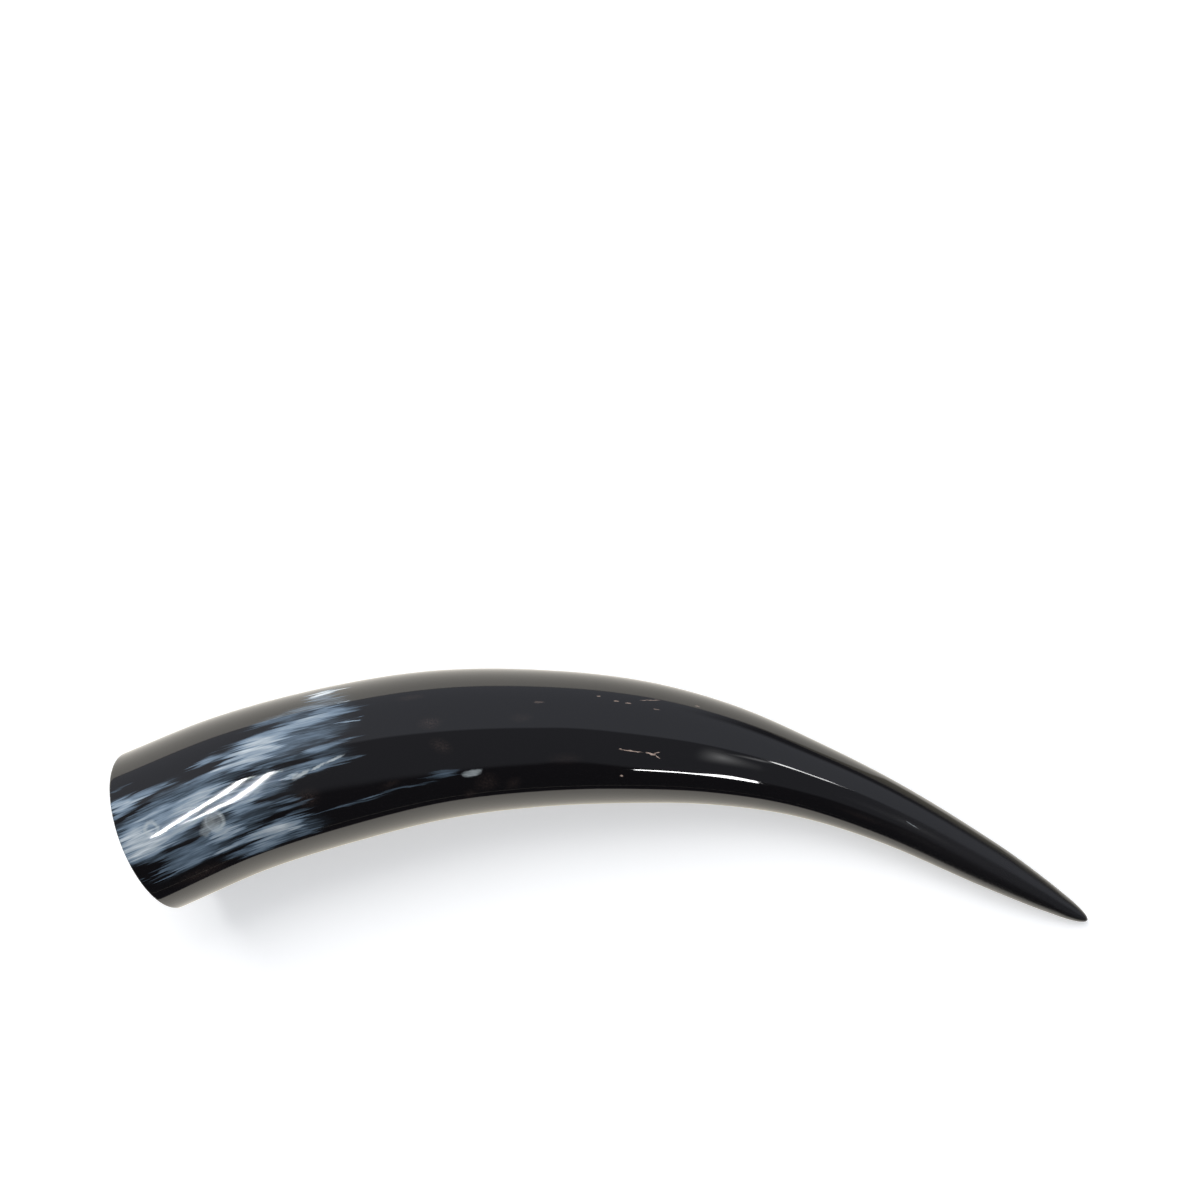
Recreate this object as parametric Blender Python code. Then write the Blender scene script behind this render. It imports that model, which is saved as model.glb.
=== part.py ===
"""A polished cow horn, lying on its side with its tip to the right.

It is one piece of keratin: a curved, tapering sheath that is hollow from the
sawn base to about half its length, and solid from there to the blunt tip.
Units are metres, +Z is up, and the horn rests on the plane Z = 0.
"""

import math

import bmesh
import bpy
from mathutils import Matrix, Vector

# The middle line of the horn in plan, and the horn's width across it, from the base to the tip:
# X along the table towards the tip, Y across the table, width.
STATIONS = (
    (-0.1815, -0.0972, 0.0662),
    (-0.1450, -0.0818, 0.0645),
    (-0.1050, -0.0701, 0.0643),
    (-0.0650, -0.0621, 0.0602),
    (-0.0250, -0.0594, 0.0559),
    (0.0150, -0.0607, 0.0502),
    (0.0500, -0.0658, 0.0419),
    (0.0850, -0.0757, 0.0320),
    (0.1200, -0.0898, 0.0253),
    (0.1600, -0.1105, 0.0186),
    (0.1800, -0.1215, 0.0131),
    (0.1930, -0.1287, 0.0083),
)
NOSE_LENGTH = 0.0102  # the rounded end, past the last station
HEIGHT_TO_WIDTH = 0.95  # the section is slightly flattened, and lies on its flatter side

# The saw cut at the base: how far it is past the first station, and its turns away from
# square to the middle line.
CUT_DISTANCE = 0.0015
CUT_TURN = math.radians(-3.0)  # in plan
CUT_LEAN = math.radians(14.0)  # the upper lip stands out further than the lower one
RIM_ROUNDING = 0.0008

# The hollow. Its width falls from the base to nothing at its end, slowly and then fast.
HOLLOW_LENGTH = 0.205
HOLLOW_WIDTH = 0.0582
HOLLOW_FULLNESS = 2.0
HOLLOW_BLUNTNESS = 0.75

RING_SPACING = 0.008
NOSE_RINGS = 6
SIDES = 32
STUB = 0.024  # spare length behind the base, which the saw cut takes off
CUT_REACH = 0.014  # no ring lies as near the base as this, so the saw cut crosses long faces
ALMOST_SHUT = math.radians(87)  # how far round a rounded end its last small ring is
SAW_BLOCK = 0.120

HORN_COLOUR = (0.012, 0.010, 0.011, 1.0)
HORN_ROUGHNESS = 0.12


def clear_scene():
    for obj in list(bpy.data.objects):
        bpy.data.objects.remove(obj, do_unlink=True)


def new_collection(name, rendered):
    collection = bpy.data.collections.new(name)
    collection.hide_render = not rendered
    bpy.context.scene.collection.children.link(collection)
    return collection


def smooth_through(knots, values, at):
    """A smooth curve through values given at rising knots (cubic Hermite, secant slopes)."""
    last = len(knots) - 1
    slopes = []
    for i in range(last + 1):
        before, after = max(i - 1, 0), min(i + 1, last)
        slopes.append((values[after] - values[before]) / (knots[after] - knots[before]))
    i = 0
    while i < last - 1 and at > knots[i + 1]:
        i += 1
    span = knots[i + 1] - knots[i]
    t = (at - knots[i]) / span
    return (
        values[i] * (2 * t**3 - 3 * t**2 + 1)
        + values[i + 1] * (3 * t**2 - 2 * t**3)
        + slopes[i] * span * (t**3 - 2 * t**2 + t)
        + slopes[i + 1] * span * (t**3 - t**2)
    )


def plan_at(x):
    """The middle line's Y and the horn's half width at a given X between the stations."""
    xs, ys, widths = zip(*STATIONS)
    return smooth_through(xs, ys, x), smooth_through(xs, widths, x) / 2


def middle_line():
    """Points every millimetre or less along the body: (distance, X, Y, half width)."""
    first, last = STATIONS[0][0], STATIONS[-1][0]
    steps = round((last - first) / 0.001)
    line = []
    distance = 0.0
    for i in range(steps + 1):
        x = first + (last - first) * i / steps
        y, half_width = plan_at(x)
        if line:
            distance += math.hypot(x - line[-1][1], y - line[-1][2])
        line.append((distance, x, y, half_width))
    return line


def at_distance(line, distance):
    """X, Y and half width at a distance along the body, straight on past either end."""
    i = 1
    while i < len(line) - 1 and line[i][0] < distance:
        i += 1
    before, after = line[i - 1], line[i]
    t = (distance - before[0]) / (after[0] - before[0])
    x, y, half_width = (a + (b - a) * t for a, b in zip(before[1:], after[1:]))
    return x, y, half_width if distance > 0 else line[0][3]


def section(line, distance, half_width):
    """A ring of the round horn: its centre, lifted so that its underside meets the table."""
    x, y, body = at_distance(line, distance)
    ahead = at_distance(line, distance + RING_SPACING)[2]
    behind = at_distance(line, distance - RING_SPACING)[2]
    slope = math.atan((ahead - behind) / (2 * RING_SPACING))
    return Vector((x, y, body * math.cos(slope))), half_width


def body_sections(line):
    """Rings of the outside, from the stub behind the base to the nose."""
    body_length = line[-1][0] - CUT_REACH
    rings = round(body_length / RING_SPACING)
    distances = [-STUB] + [CUT_REACH + body_length * i / rings for i in range(rings + 1)]
    sections = [section(line, far, at_distance(line, far)[2]) for far in distances]
    centre, half_width = sections[-1]
    heading = centre - sections[-2][0]
    heading.z = 0
    heading.normalize()
    for i in range(1, NOSE_RINGS + 1):
        turn = ALMOST_SHUT * i / NOSE_RINGS
        ring = half_width * math.cos(turn)
        nose = centre + heading * NOSE_LENGTH * math.sin(turn)
        nose.z = (centre.z + ring) / 2
        sections.append((nose, ring))
    return sections


def hollow_sections(line):
    """Rings of the hollow, from the stub behind the base to its rounded end."""
    rings = round(HOLLOW_LENGTH / RING_SPACING)
    sections = [section(line, -STUB - RING_SPACING, HOLLOW_WIDTH / 2)]
    for i in range(rings + 1):
        share = math.sin(ALMOST_SHUT * i / rings)
        taper = (1 - share**HOLLOW_FULLNESS) ** HOLLOW_BLUNTNESS
        if HOLLOW_LENGTH * share > CUT_REACH:
            sections.append(section(line, HOLLOW_LENGTH * share, HOLLOW_WIDTH / 2 * taper))
    return sections


def swept_solid(name, sections, collection):
    """A round tube through the sections, closed at both ends, as a mesh."""
    curve = bpy.data.curves.new(name + "_path", "CURVE")
    curve.dimensions = "3D"
    curve.twist_mode = "Z_UP"
    curve.bevel_depth = 1.0
    curve.bevel_resolution = SIDES // 2 - 2
    curve.use_fill_caps = True
    spline = curve.splines.new("POLY")
    spline.points.add(len(sections) - 1)
    for point, (centre, half_width) in zip(spline.points, sections):
        point.co = (*centre, 1.0)
        point.radius = half_width
    path = bpy.data.objects.new(name + "_path", curve)
    collection.objects.link(path)
    bpy.context.view_layer.update()

    evaluated = path.evaluated_get(bpy.context.evaluated_depsgraph_get())
    mesh = bpy.data.meshes.new_from_object(evaluated)
    mesh.transform(Matrix.Diagonal((1.0, 1.0, HEIGHT_TO_WIDTH, 1.0)))
    bm = bmesh.new()
    bm.from_mesh(mesh)
    bmesh.ops.remove_doubles(bm, verts=bm.verts, dist=1e-6)
    bmesh.ops.recalc_face_normals(bm, faces=bm.faces)
    bm.to_mesh(mesh)
    bm.free()

    solid = bpy.data.objects.new(name, mesh)
    solid.matrix_world = path.matrix_world
    collection.objects.link(solid)
    bpy.data.objects.remove(path, do_unlink=True)
    return solid


def as_cutter(obj):
    obj.hide_render = True
    obj.display_type = "WIRE"
    return obj


def base_frame(line):
    """Where the saw cut goes: its centre, and its outward direction."""
    centre, _ = section(line, CUT_DISTANCE, line[0][3])
    centre.z *= HEIGHT_TO_WIDTH
    start, ahead = line[0], line[1]
    outward = Vector((start[1] - ahead[1], start[2] - ahead[2], 0)).normalized()
    outward.rotate(Matrix.Rotation(CUT_TURN, 3, "Z"))
    across = outward.cross(Vector((0, 0, 1)))
    outward.rotate(Matrix.Rotation(-CUT_LEAN, 3, across))
    return centre, outward


def saw_block(line, collection):
    """A block whose near face is the plane of the saw cut."""
    centre, outward = base_frame(line)
    mesh = bpy.data.meshes.new("saw_block")
    bm = bmesh.new()
    bmesh.ops.create_cube(bm, size=SAW_BLOCK)
    bm.to_mesh(mesh)
    bm.free()
    block = bpy.data.objects.new("saw_block", mesh)
    block.rotation_mode = "QUATERNION"
    block.rotation_quaternion = outward.to_track_quat("Z", "Y")
    block.location = centre + outward * SAW_BLOCK / 2
    collection.objects.link(block)
    return as_cutter(block)


def cut(obj, cutter):
    modifier = obj.modifiers.new("cut_" + cutter.name, "BOOLEAN")
    modifier.operation = "DIFFERENCE"
    modifier.solver = "EXACT"
    modifier.object = cutter


def apply_modifiers(obj):
    """Puts the result of the object's modifiers in its own mesh."""
    bpy.context.view_layer.update()
    evaluated = obj.evaluated_get(bpy.context.evaluated_depsgraph_get())
    obj.data = bpy.data.meshes.new_from_object(evaluated)
    obj.data.name = obj.name
    obj.modifiers.clear()


def round_rim(obj, line):
    """Eases the two edges of the sawn ring, and leaves a flat between them."""
    centre, outward = base_frame(line)
    bm = bmesh.new()
    bm.from_mesh(obj.data)
    bmesh.ops.remove_doubles(bm, verts=bm.verts, dist=1e-6)

    def on_cut(vert):
        return abs((vert.co - centre).dot(outward)) < 1e-6

    edges = [
        edge
        for edge in bm.edges
        if all(on_cut(vert) for vert in edge.verts)
        and not all(on_cut(vert) for face in edge.link_faces for vert in face.verts)
    ]
    bmesh.ops.bevel(
        bm,
        geom=edges,
        offset=RIM_ROUNDING,
        offset_type="OFFSET",
        segments=3,
        profile=0.5,
        affect="EDGES",
        clamp_overlap=True,
    )
    bm.to_mesh(obj.data)
    bm.free()


def centre_on_origin(obj):
    """Moves the mesh so that the origin is the middle of the box's underside."""
    corners = [vert.co for vert in obj.data.vertices]
    low = Vector(min(co[axis] for co in corners) for axis in range(3))
    high = Vector(max(co[axis] for co in corners) for axis in range(3))
    middle = (low + high) / 2
    middle.z = low.z
    obj.data.transform(Matrix.Translation(-middle))


def horn_material():
    material = bpy.data.materials.new("polished_horn")
    material.use_nodes = True
    shader = material.node_tree.nodes["Principled BSDF"]
    shader.inputs["Base Color"].default_value = HORN_COLOUR
    shader.inputs["Roughness"].default_value = HORN_ROUGHNESS
    shader.inputs["Metallic"].default_value = 0.0
    return material


def make_horn():
    parts = new_collection("cow_horn", rendered=True)
    cutters = new_collection("cutters", rendered=False)
    line = middle_line()
    horn = swept_solid("horn", body_sections(line), parts)
    hollow = as_cutter(swept_solid("hollow", hollow_sections(line), cutters))
    cut(horn, hollow)
    cut(horn, saw_block(line, cutters))
    apply_modifiers(horn)
    round_rim(horn, line)
    centre_on_origin(horn)
    horn.data.materials.clear()
    horn.data.materials.append(horn_material())
    horn.data.shade_smooth()
    horn.data.set_sharp_from_angle(angle=math.radians(35))
    return horn


clear_scene()
make_horn()
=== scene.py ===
# %% [markdown]
# # A polished cow horn
#
# A cow horn is a sheath of keratin, the stuff of hooves and nails, that grew over a core of
# bone. This one was cut off with a saw, boiled clean, and scraped and buffed until it shines.
# It lies on its side on a pale table, seen from above.
#
# The lesson builds it in this order: the frame that it has to fit, the camera, the table and
# the light, the sheath's shape, the keratin's finish, and the body that carries it.

import math

import bmesh
import bpy
from mathutils import Matrix, Vector


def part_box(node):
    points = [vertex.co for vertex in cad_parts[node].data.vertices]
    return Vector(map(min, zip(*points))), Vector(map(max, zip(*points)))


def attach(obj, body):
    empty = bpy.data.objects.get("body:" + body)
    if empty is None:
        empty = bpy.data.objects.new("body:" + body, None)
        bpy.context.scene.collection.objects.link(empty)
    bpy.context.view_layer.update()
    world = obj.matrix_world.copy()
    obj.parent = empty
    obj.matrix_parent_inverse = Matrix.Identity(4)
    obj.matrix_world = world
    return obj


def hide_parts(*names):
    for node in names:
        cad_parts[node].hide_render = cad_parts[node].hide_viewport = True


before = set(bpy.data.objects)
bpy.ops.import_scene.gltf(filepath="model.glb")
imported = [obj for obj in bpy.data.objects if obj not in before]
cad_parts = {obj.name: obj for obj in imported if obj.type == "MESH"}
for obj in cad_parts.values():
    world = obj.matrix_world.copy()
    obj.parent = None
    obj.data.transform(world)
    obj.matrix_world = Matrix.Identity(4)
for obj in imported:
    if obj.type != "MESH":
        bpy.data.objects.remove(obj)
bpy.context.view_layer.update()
horn_low, horn_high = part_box("horn")
print("frame box in mm:", [round(1000 * (b - a), 1) for a, b in zip(horn_low, horn_high)])

# %% [markdown]
# ## Helpers for nodes and colours
#
# Every tree in this lesson, for the shape as well as for the finish, is built by one small
# function. It adds a node, makes its settings and fills its inputs: a node or a socket is
# linked, and anything else is typed in. Colours are picked as sRGB hex codes, the way a screen
# shows them, and one function turns them into the linear light that Blender works in. The view
# transform is Standard, so that a hex code comes out as it was picked.

# %% Helpers for nodes and colours
MATH, VECTOR, MAP_RANGE = "ShaderNodeMath", "ShaderNodeVectorMath", "ShaderNodeMapRange"
MIX, SPLIT, JOIN = "ShaderNodeMix", "ShaderNodeSeparateXYZ", "ShaderNodeCombineXYZ"


def live(sockets, name=None):
    """The first socket that the node's settings leave in use, of this name or of any."""
    return next(socket for socket in sockets if socket.enabled and name in (None, socket.name))


def add(tree, kind, inputs=(), **settings):
    """Adds a node. Inputs go by position or by name, each a node, a socket or a value."""
    node = tree.nodes.new(kind)
    for name, value in settings.items():
        setattr(node, name, value)
    for key, value in inputs.items() if isinstance(inputs, dict) else enumerate(inputs):
        slot = live(node.inputs, key) if isinstance(key, str) else node.inputs[key]
        if isinstance(value, bpy.types.Node):
            value = live(value.outputs)
        if isinstance(value, bpy.types.NodeSocket):
            tree.links.new(value, slot)
        else:
            slot.default_value = value
    return node


def linear(code):
    """An sRGB hex code as a linear RGBA colour."""
    channels = []
    for i in (1, 3, 5):
        c = int(code[i:i + 2], 16) / 255
        channels.append(c / 12.92 if c <= 0.04045 else ((c + 0.055) / 1.055) ** 2.4)
    return (*channels, 1.0)


bpy.context.scene.view_settings.view_transform = "Standard"
print("mid grey in linear light:", round(linear("#808080")[0], 3))

# %% [markdown]
# ## The camera
#
# The photograph looks almost straight down: the camera stands 0.9 m from the horn and leans
# 6.5 degrees from the vertical. The lens is a short telephoto, which keeps the thick base and
# the thin tip in their true proportions.

# %% The camera
CAMERA_PLACE = (-0.00435, -0.01896, 0.89422)
CAMERA_LEAN = math.radians(6.5)
CAMERA_LENS = 63.86
SENSOR_WIDTH = 36


def put_in_scene(obj):
    bpy.context.scene.collection.objects.link(obj)
    return obj


camera = put_in_scene(bpy.data.objects.new("camera", bpy.data.cameras.new("camera")))
camera.data.sensor_width = SENSOR_WIDTH
camera.data.lens = CAMERA_LENS
camera.location = CAMERA_PLACE
camera.rotation_euler = (CAMERA_LEAN, 0, 0)
bpy.context.scene.camera = camera
print("field of view:", round(math.degrees(camera.data.angle), 1), "degrees")

# %% [markdown]
# ## The table
#
# The table is plain, matt and nearly white. A real one reaches far past the horn, so a large
# flat square is enough. A photograph of a black thing is exposed long, and its white table
# burns out to plain white. The table's paint does that with two glows of its own: one that only
# the camera sees, stronger further off, and a warm one that only the polish mirrors. Lamps
# could do it too, but they would also wash out the horn.

# %% The table
TABLE_SIZE = 9.0
GLOW_NEAR, GLOW_FAR = 0.36, 1.0  # what the camera sees besides the lit paint
GLOW_FROM, GLOW_TO = 0.5, 2.5  # metres from the horn between which it grows
MIRRORED_GLOW = 0.72


def flat_shape(name, corners, material):
    """One flat face with these corners, as an object."""
    mesh = bpy.data.meshes.new(name)
    mesh.from_pydata(corners, [], [tuple(range(len(corners)))])
    mesh.materials.append(material)
    return put_in_scene(bpy.data.objects.new(name, mesh))


laminate = bpy.data.materials.new("white_laminate")  # matt, so it gives soft shade and no glare
laminate.use_nodes = True
paint = laminate.node_tree
coat = paint.nodes["Principled BSDF"]
coat.inputs["Base Color"].default_value = linear("#f2f2f1")
coat.inputs["Roughness"].default_value = 0.7
coat.inputs["Specular IOR Level"].default_value = 0.2
coat.inputs["Emission Color"].default_value = linear("#fff3d8")

ray = add(paint, "ShaderNodeLightPath").outputs
mirrored = add(paint, MATH, [ray["Is Glossy Ray"], MIRRORED_GLOW], operation="MULTIPLY")
paint.links.new(mirrored.outputs[0], coat.inputs["Emission Strength"])
on_table = add(paint, "ShaderNodeTexCoord").outputs["Object"]
away = add(paint, VECTOR, [on_table], operation="LENGTH")
glow_there = add(paint, MAP_RANGE, [away, GLOW_FROM, GLOW_TO, GLOW_NEAR, GLOW_FAR])
seen_glow = add(paint, MATH, [ray["Is Camera Ray"], glow_there], operation="MULTIPLY")
white = add(paint, "ShaderNodeEmission", {"Strength": seen_glow})
glowing_coat = add(paint, "ShaderNodeAddShader", [coat, white])
paint.links.new(glowing_coat.outputs[0], paint.nodes["Material Output"].inputs["Surface"])

half = TABLE_SIZE / 2
table = flat_shape("table", [(-half, -half, 0), (half, -half, 0), (half, half, 0),
                             (-half, half, 0)], laminate)
print("table:", TABLE_SIZE, "m square")

# %% [markdown]
# ## The cards
#
# Product photographers lay matt cards beside a shiny thing, to choose what its flanks mirror.
# Two do that here. A black one on the near side keeps the horn's near flank dark down to a
# thin pale band, and its edge bends with the horn, so that the band is even. A grey-beige one
# behind the tip dulls the band along the tip's back edge. Only the polish sees them.

# %% The cards
CARD_HEIGHT = 0.001
BLACK_CARD = ((-1.6, -3.0), (1.6, -3.0), (1.6, -0.30), (0.20, -0.085), (0.12, -0.10),
              (0.085, -0.13), (0.055, -0.185), (0.02, -0.235), (-0.02, -0.25), (-0.07, -0.23),
              (-0.13, -0.195), (-0.2, -0.165), (-0.4, -0.145), (-1.6, -0.13))
TIP_CARD = ((0.13, 0.030), (0.20, -0.025), (0.5, -0.02), (1.6, 1.2), (0.9, 1.5))


def only_mirrored(obj):
    """Hides a thing from the camera and the soft light, so that only the polish shows it."""
    obj.visible_camera = obj.visible_diffuse = obj.visible_shadow = False


def card(name, outline, code):
    material = bpy.data.materials.new(name)
    material.use_nodes = True
    shader = material.node_tree.nodes["Principled BSDF"]
    shader.inputs["Base Color"].default_value = linear(code)
    shader.inputs["Roughness"].default_value = 0.9
    shader.inputs["Specular IOR Level"].default_value = 0.0
    obj = flat_shape(name, [(x, y, CARD_HEIGHT) for x, y in outline], material)
    only_mirrored(obj)


card("black_card", BLACK_CARD, "#403f43")
card("tip_card", TIP_CARD, "#cfc8b4")
print("cards with", len(BLACK_CARD), "and", len(TIP_CARD), "corners")

# %% [markdown]
# ## The room's light
#
# A black, polished thing is drawn by what it mirrors, so the room matters more here than the
# horn's own colour. The photograph's reflections tell what stood around: a pale wall behind
# (+Y), a dimmer ceiling overhead, and darkness on the near side (-Y) and low down beyond the
# tip. The world is painted by direction, y / z being how far behind the zenith a ray goes. The
# wall ends sharply and the ceiling softly. Rays that come straight from the camera see a plain
# white backdrop instead.

# %% The room's light
WALL_EDGE, WALL_SLANT = 0.35, 0.45  # the pale wall ends where y / z is edge - slant * x / z
WALL_BLUR = 0.03
CEILING_EDGE, CEILING_SLANT = -0.42, 1.8  # the same for the dim ceiling
CEILING_BLUR_OUT, CEILING_BLUR_IN = 0.12, 0.08
WALL_LIGHT, CEILING_LIGHT, NEAR_LIGHT = 0.72, 0.28, 0.06
CORNER_X, CORNER_Z = (0.40, 0.60), (0.34, 0.16)  # where the dark corner by the tip sets in
CORNER_SHARE = 0.9
LOWEST = 0.02  # keeps the divisions by z sound near the horizon
SOFT = {"interpolation_type": "SMOOTHSTEP"}

world = bpy.data.worlds.new("room")
bpy.context.scene.world = world
world.use_nodes = True
room = world.node_tree
room.nodes.clear()
look = add(room, SPLIT, [add(room, "ShaderNodeTexCoord").outputs["Generated"]]).outputs
height = add(room, MATH, [look["Z"], LOWEST], operation="MAXIMUM")
behind = add(room, MATH, [look["Y"], height], operation="DIVIDE")
aside = add(room, MATH, [look["X"], height], operation="DIVIDE")
tipward = add(room, MATH, [aside, 0.0], operation="MAXIMUM")
past_wall = add(room, MATH, [aside, WALL_SLANT, behind], operation="MULTIPLY_ADD")
past_ceiling = add(room, MATH, [tipward, CEILING_SLANT, behind], operation="MULTIPLY_ADD")

wall = add(room, MAP_RANGE, [past_wall, WALL_EDGE - WALL_BLUR, WALL_EDGE + WALL_BLUR,
                             CEILING_LIGHT, WALL_LIGHT], **SOFT)
overhead = add(room, MAP_RANGE, [past_ceiling, CEILING_EDGE - CEILING_BLUR_OUT,
                                 CEILING_EDGE + CEILING_BLUR_IN, 0.0, 1.0], **SOFT)
light = add(room, MIX, {"Factor": overhead, "A": NEAR_LIGHT, "B": wall}, data_type="FLOAT")
tip_side = add(room, MAP_RANGE, [look["X"], *CORNER_X, 0.0, 1.0], **SOFT)
low_down = add(room, MAP_RANGE, [look["Z"], *CORNER_Z, 0.0, CORNER_SHARE], **SOFT)
corner = add(room, MATH, [tip_side, low_down], operation="MULTIPLY")
light = add(room, MIX, {"Factor": corner, "A": light, "B": NEAR_LIGHT}, data_type="FLOAT")

painted = add(room, "ShaderNodeBackground", {"Color": linear("#e8eefb"), "Strength": light})
backdrop = add(room, "ShaderNodeBackground", {"Color": linear("#ffffff"), "Strength": 1.0})
seen = add(room, "ShaderNodeLightPath").outputs["Is Camera Ray"]
both = add(room, "ShaderNodeMixShader", [seen, painted, backdrop])
add(room, "ShaderNodeOutputWorld", [both])
print("room light from", NEAR_LIGHT, "to", WALL_LIGHT)

# %% [markdown]
# ## The lamps that the polish mirrors
#
# Two thin tubes hang side by side under the ceiling, almost over the base, and the polish draws
# them there as two bright slanting streaks. They are rectangular area lamps. The short line
# halfway along is a small bright panel close to the horn: a lamp's image in a curved mirror has
# the lamp's own outline, squeezed, so the panel is thin at one end where the line is thin. The
# soft glints further on are panels that fade to their edges, and one narrow spot lamp. All of
# them are made so that they are mirrored and give no light of their own to the horn's colour.

# %% The lamps that the polish mirrors
CEILING = 2.0


def facing(place, aim):
    """The turn of a lamp that stands at a place and looks at its aim."""
    return (Vector(place) - Vector(aim)).to_track_quat("Z", "Y").to_euler()


def lamp(name, place, aim, size, radiance, mirrored, lit):
    """A flat rectangular lamp that looks at a place."""
    data = bpy.data.lights.new(name, "AREA")
    data.shape = "RECTANGLE"
    data.size, data.size_y = size
    data.energy = radiance * math.pi * size[0] * size[1]
    obj = bpy.data.objects.new(name, data)
    obj.location = place
    obj.rotation_euler = facing(place, aim)
    obj.visible_camera = False
    obj.visible_glossy = mirrored
    obj.visible_diffuse = lit
    return put_in_scene(obj)


def level_strip(start, end, level):
    """The middle, the length and the turn of a level strip from one (X, Y) to another."""
    run = Vector((end[0] - start[0], end[1] - start[1]))
    place = ((start[0] + end[0]) / 2, (start[1] + end[1]) / 2, level)
    return place, run.length, (0, 0, math.atan2(-run.x, run.y))


def tube(name, start, end, width, radiance):
    """A ceiling tube from one (X, Y) to another."""
    place, length, turn = level_strip(start, end, CEILING)
    obj = lamp(name, place, (place[0], place[1], 0), (width, length), radiance, True, False)
    obj.rotation_euler = turn


tube("tube_1", (-0.230, -0.52), (-0.452, 0.38), 0.011, 110)
tube("tube_2", (-0.178, -0.52), (-0.386, 0.33), 0.006, 110)

# %% Panels and a spot
NEAR_LAMP = (  # about 140 mm from the horn, thin at the end where its line is thin
    (0.0483, -0.1112, 0.1240), (0.0774, -0.1142, 0.1156), (0.0878, -0.1150, 0.1147),
    (0.0972, -0.1162, 0.1142), (0.1004, -0.1089, 0.1225), (0.0920, -0.1045, 0.1265),
    (0.0838, -0.1071, 0.1239), (0.0767, -0.1104, 0.1206), (0.0489, -0.1089, 0.1269))


def panel(name, corners, radiance, faded):
    """A flat glowing shape, even all over or faded from its middle to its edges."""
    material = bpy.data.materials.new(name)
    material.use_nodes = True
    tree = material.node_tree
    tree.nodes.clear()
    strength = radiance
    if faded:
        place = add(tree, "ShaderNodeTexCoord").outputs["Object"]
        fade = add(tree, "ShaderNodeTexGradient", [place], gradient_type="QUADRATIC_SPHERE")
        strength = add(tree, MATH, [fade.outputs["Fac"], radiance], operation="MULTIPLY")
    surface = add(tree, "ShaderNodeEmission", {"Strength": strength})
    if faded:
        clear = add(tree, "ShaderNodeBsdfTransparent")
        surface = add(tree, "ShaderNodeAddShader", [surface, clear])
    add(tree, "ShaderNodeOutputMaterial", [surface])
    obj = flat_shape(name, corners, material)
    only_mirrored(obj)
    return obj


def glow(name, start, end, width, radiance, level):
    """A faded panel from one (X, Y) to another."""
    obj = panel(name, [(-1, 1, 0), (1, 1, 0), (1, -1, 0), (-1, -1, 0)], radiance, True)
    obj.location, length, obj.rotation_euler = level_strip(start, end, level)
    obj.scale = (width / 2, length / 2, 1)


def spot(name, place, aim, radius, cone, blend, radiance):
    """A round lamp that only shines into a narrow cone, so that it glints in one place only."""
    data = bpy.data.lights.new(name, "SPOT")
    data.energy = radiance * 4 * math.pi**2 * radius**2
    data.shadow_soft_size = radius
    data.spot_size = math.radians(cone)
    data.spot_blend = blend
    obj = bpy.data.objects.new(name, data)
    obj.location = place
    obj.rotation_euler = facing(place, aim)
    obj.visible_camera = obj.visible_diffuse = False
    put_in_scene(obj)


panel("near_lamp", NEAR_LAMP, 40, False)
glow("glow_far", (0.236, -0.26), (0.266, 0.06), 0.06, 2.2, 0.45)
glow("glow_between", (0.262, -0.035), (0.335, 0.03), 0.04, 2.5, 0.45)
spot("far_lamp", (0.340, 0.018, 0.45), (0.066, 0.0, 0.034), 0.017, 4.0, 0.3, 20)
print("near lamp's corners:", len(NEAR_LAMP))

# %% [markdown]
# ## The lamps that light the table
#
# The light that falls on the table and on the horn's own colour comes from two wide soft
# panels, one behind and a weaker one on the near side. The polish doesn't show them: their
# images would be large white squares, which the photograph doesn't have.

# %% The lamps that light the table
lamp("soft_panel_behind", (-0.7, 1.1, 1.5), (0, 0, 0), (1.6, 1.6), 3.6, False, True)
lamp("soft_panel_near", (0.6, -1.2, 1.4), (0, 0, 0), (1.4, 1.4), 1.8, False, True)

# %% [markdown]
# ## The horn's middle line
#
# A horn grows at its root only, layer inside layer, so its shape is a round section that rides
# along a curved line and gets smaller towards the tip. It could be carved from a block, but a
# line with a width and a height at each place is closer to how it grew, and easier to correct.
# The line is given as the photograph shows it. Its height isn't free: the horn lies on the
# table all along, so its middle is half its own height up. The last centimetre narrows as a
# parabola does, and drops a little.

# %% The horn's middle line
STATIONS = (  # X and Y of the middle line, width of the horn, in metres
    (-0.1815, -0.0972, 0.0662), (-0.1450, -0.0818, 0.0652), (-0.1050, -0.0701, 0.0636),
    (-0.0650, -0.0621, 0.0604), (-0.0250, -0.0594, 0.0559), (0.0150, -0.0607, 0.0502),
    (0.0500, -0.0658, 0.0419), (0.0850, -0.0757, 0.0320), (0.1200, -0.0898, 0.0253),
    (0.1600, -0.1105, 0.0186), (0.1800, -0.1215, 0.0131), (0.1930, -0.1287, 0.0083),
)
TOP_HEIGHTS = (  # distance along the horn, height of its top over the table, in metres
    (0.0, 0.0627), (0.024, 0.06198), (0.048, 0.06126), (0.072, 0.0605), (0.090, 0.05975),
    (0.110, 0.0585), (0.130, 0.0566), (0.160, 0.0531), (0.190, 0.0494), (0.220, 0.0436),
    (0.250, 0.0369), (0.280, 0.0299), (0.310, 0.0243), (0.340, 0.0199), (0.365, 0.0159),
    (0.385, 0.0112), (0.3946, 0.0079),
)
SAMPLE_STEP = 0.001
NOSE_LENGTH = 0.0102  # the rounded end past the last station
NOSE_DROP = 0.30  # how much lower the line gets in the rounded end
NOSE_RINGS = 32
STUB = 0.024  # the line starts this far behind the base, so that the rim can lean back


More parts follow.
